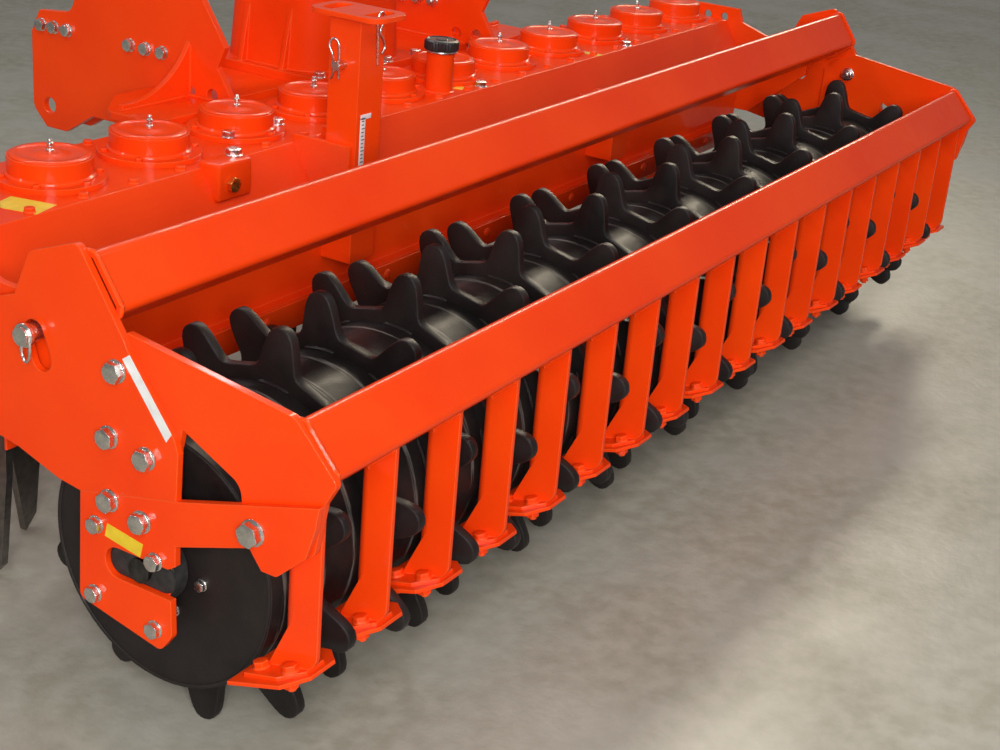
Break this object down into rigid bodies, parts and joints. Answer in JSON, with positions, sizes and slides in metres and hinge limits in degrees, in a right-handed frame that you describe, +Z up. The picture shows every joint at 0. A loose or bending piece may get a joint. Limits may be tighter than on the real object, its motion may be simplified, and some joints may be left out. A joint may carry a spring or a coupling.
{
  "type": "power harrow",
  "caption": "Mounted power harrow with a closed gear trough, vertical rotors with knife tines, a headstock, a levelling bar and a toothed packer roller with scrapers.",
  "frame": {"origin": "on the floor below the centre of the bounding box", "axes": "+X to the machine's right, +Y the direction of travel, +Z up"},
  "size_m": [3.083, 1.5892, 1.275],
  "materials": {
    "paint_red": "glossy orange-red enamel",
    "paint_black": "satin black enamel",
    "bare_tine": "hardened bare steel",
    "zinc_steel": "bright zinc plate",
    "cast_red": "painted casting",
    "cap_black": "matt black plastic"
  },
  "bodies": {
    "harrow": {"trough": "paint_red", "trough_end_plates": "paint_red", "arm_pivot_pins": "zinc_steel", "depth_pins": "zinc_steel", "rotor_covers": "paint_red", "rotor_bearing_flanges": "paint_red", "filler_neck": "paint_red", "filler_cap": "cap_black", "headstock_base": "paint_red", "headstock_feet": "paint_red", "headstock_side_plates": "paint_red", "lower_link_plates": "paint_red", "headstock_cross_tube": "paint_red", "top_link_bracket": "paint_red", "gearbox": "cast_red", "stem_guides": "paint_red", "deflector_hinges": "paint_red"},
    "rotor_01_turning": {"rotor_01": "bare_tine"},
    "rotor_02_turning": {"rotor_02": "bare_tine"},
    "rotor_03_turning": {"rotor_03": "bare_tine"},
    "rotor_04_turning": {"rotor_04": "bare_tine"},
    "rotor_05_turning": {"rotor_05": "bare_tine"},
    "rotor_06_turning": {"rotor_06": "bare_tine"},
    "rotor_07_turning": {"rotor_07": "bare_tine"},
    "rotor_08_turning": {"rotor_08": "bare_tine"},
    "rotor_09_turning": {"rotor_09": "bare_tine"},
    "rotor_10_turning": {"rotor_10": "bare_tine"},
    "rotor_11_turning": {"rotor_11": "bare_tine"},
    "rotor_12_turning": {"rotor_12": "bare_tine"},
    "input_shaft": {"pto_input_shaft": "zinc_steel"},
    "roller_frame": {"front_tube": "paint_red", "rear_beam": "paint_red", "roller_arms": "paint_red", "bearing_hangers": "paint_red", "roller_end_plates": "paint_red", "roller_bearings": "cast_red", "scraper_arms": "paint_red", "scraper_blades": "paint_red"},
    "roller": {"roller_drum": "paint_black", "roller_stub_shafts": "zinc_steel", "roller_tooth_rings": "paint_black"},
    "levelling": {"levelling_bar": "paint_red", "levelling_stems": "paint_red", "stem_setting_pin": "zinc_steel"},
    "deflector_left": {"side_deflector_left": "paint_red"},
    "deflector_right": {"side_deflector_right": "paint_red"}
  },
  "joints": [
    {"name": "rotor_01_spin", "type": "hinge", "parent": "harrow", "child": "rotor_01_turning", "pos_m": [-1.375, 0.119, 0.4], "axis": [0, 0, 1], "continuous": true},
    {"name": "rotor_02_spin", "type": "hinge", "parent": "harrow", "child": "rotor_02_turning", "pos_m": [-1.125, 0.119, 0.4], "axis": [0, 0, 1], "continuous": true},
    {"name": "rotor_03_spin", "type": "hinge", "parent": "harrow", "child": "rotor_03_turning", "pos_m": [-0.875, 0.119, 0.4], "axis": [0, 0, 1], "continuous": true},
    {"name": "rotor_04_spin", "type": "hinge", "parent": "harrow", "child": "rotor_04_turning", "pos_m": [-0.625, 0.119, 0.4], "axis": [0, 0, 1], "continuous": true},
    {"name": "rotor_05_spin", "type": "hinge", "parent": "harrow", "child": "rotor_05_turning", "pos_m": [-0.375, 0.119, 0.4], "axis": [0, 0, 1], "continuous": true},
    {"name": "rotor_06_spin", "type": "hinge", "parent": "harrow", "child": "rotor_06_turning", "pos_m": [-0.125, 0.119, 0.4], "axis": [0, 0, 1], "continuous": true},
    {"name": "rotor_07_spin", "type": "hinge", "parent": "harrow", "child": "rotor_07_turning", "pos_m": [0.125, 0.119, 0.4], "axis": [0, 0, 1], "continuous": true},
    {"name": "rotor_08_spin", "type": "hinge", "parent": "harrow", "child": "rotor_08_turning", "pos_m": [0.375, 0.119, 0.4], "axis": [0, 0, 1], "continuous": true},
    {"name": "rotor_09_spin", "type": "hinge", "parent": "harrow", "child": "rotor_09_turning", "pos_m": [0.625, 0.119, 0.4], "axis": [0, 0, 1], "continuous": true},
    {"name": "rotor_10_spin", "type": "hinge", "parent": "harrow", "child": "rotor_10_turning", "pos_m": [0.875, 0.119, 0.4], "axis": [0, 0, 1], "continuous": true},
    {"name": "rotor_11_spin", "type": "hinge", "parent": "harrow", "child": "rotor_11_turning", "pos_m": [1.125, 0.119, 0.4], "axis": [0, 0, 1], "continuous": true},
    {"name": "rotor_12_spin", "type": "hinge", "parent": "harrow", "child": "rotor_12_turning", "pos_m": [1.375, 0.119, 0.4], "axis": [0, 0, 1], "continuous": true},
    {"name": "input_spin", "type": "hinge", "parent": "harrow", "child": "input_shaft", "pos_m": [0, 0.599, 0.88], "axis": [0, 1, 0], "continuous": true},
    {"name": "roller_depth", "type": "hinge", "parent": "harrow", "child": "roller_frame", "pos_m": [0, 0.004, 0.54], "axis": [1, 0, 0], "range_deg": [-9, 0]},
    {"name": "roller_spin", "type": "hinge", "parent": "roller_frame", "child": "roller", "pos_m": [0, -0.446, 0.31772], "axis": [1, 0, 0], "continuous": true},
    {"name": "levelling_height", "type": "slide", "parent": "harrow", "child": "levelling", "axis": [0, 0, 1], "range_m": [-0.05, 0.03]},
    {"name": "deflector_left_swing", "type": "hinge", "parent": "harrow", "child": "deflector_left", "pos_m": [-1.522, 0.214, 0.64], "axis": [0, 1, 0], "range_deg": [0, 60]},
    {"name": "deflector_right_swing", "type": "hinge", "parent": "harrow", "child": "deflector_right", "pos_m": [1.522, 0.214, 0.64], "axis": [0, -1, 0], "range_deg": [0, 60]}
  ],
  "couplings": [
    {"joint": "rotor_02_spin", "follows": "rotor_01_spin", "ratio": -1},
    {"joint": "rotor_03_spin", "follows": "rotor_01_spin", "ratio": 1},
    {"joint": "rotor_04_spin", "follows": "rotor_01_spin", "ratio": -1},
    {"joint": "rotor_05_spin", "follows": "rotor_01_spin", "ratio": 1},
    {"joint": "rotor_06_spin", "follows": "rotor_01_spin", "ratio": -1},
    {"joint": "rotor_07_spin", "follows": "rotor_01_spin", "ratio": 1},
    {"joint": "rotor_08_spin", "follows": "rotor_01_spin", "ratio": -1},
    {"joint": "rotor_09_spin", "follows": "rotor_01_spin", "ratio": 1},
    {"joint": "rotor_10_spin", "follows": "rotor_01_spin", "ratio": -1},
    {"joint": "rotor_11_spin", "follows": "rotor_01_spin", "ratio": 1},
    {"joint": "rotor_12_spin", "follows": "rotor_01_spin", "ratio": -1},
    {"joint": "input_spin", "follows": "rotor_01_spin", "ratio": 3}
  ]
}
